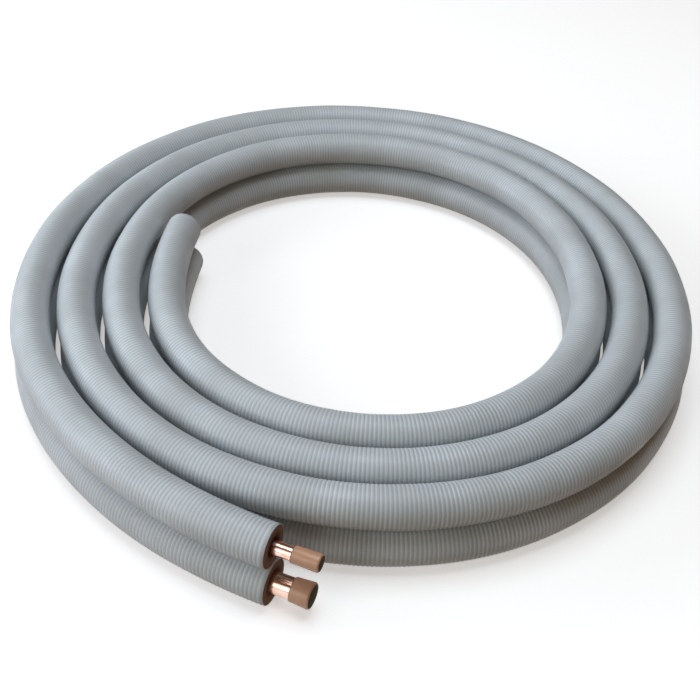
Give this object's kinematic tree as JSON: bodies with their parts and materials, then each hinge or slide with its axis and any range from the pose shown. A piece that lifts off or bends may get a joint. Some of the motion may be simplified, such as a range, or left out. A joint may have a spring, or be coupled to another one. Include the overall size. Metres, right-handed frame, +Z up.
{
  "type": "mini split line set",
  "caption": "Coil of paired insulated soft copper refrigerant tubes for a small split air conditioner, the thin tube on top of the wide one, with push-on caps on the outer ends.",
  "frame": {"origin": "middle of the coil's footprint on the floor", "axes": "+Z up, +X to the right and +Y away from the side where the two capped ends leave the coil"},
  "size_m": [0.363, 0.423, 0.0414],
  "materials": {
    "liquid_line_tube": "bright drawn copper",
    "suction_line_tube": "bright drawn copper",
    "liquid_line_insulation": "off-white foam sleeve with embossed film skin",
    "suction_line_insulation": "off-white foam sleeve with embossed film skin",
    "liquid_line_end_cap": "frosted soft plastic that lets the copper show through",
    "suction_line_end_cap": "frosted soft plastic that lets the copper show through"
  },
  "bodies": {
    "root": {"liquid_line_tube": "liquid_line_tube", "suction_line_tube": "suction_line_tube", "liquid_line_insulation": "liquid_line_insulation", "suction_line_insulation": "suction_line_insulation", "liquid_line_end_cap": "liquid_line_end_cap", "suction_line_end_cap": "suction_line_end_cap"}
  },
  "joints": []
}
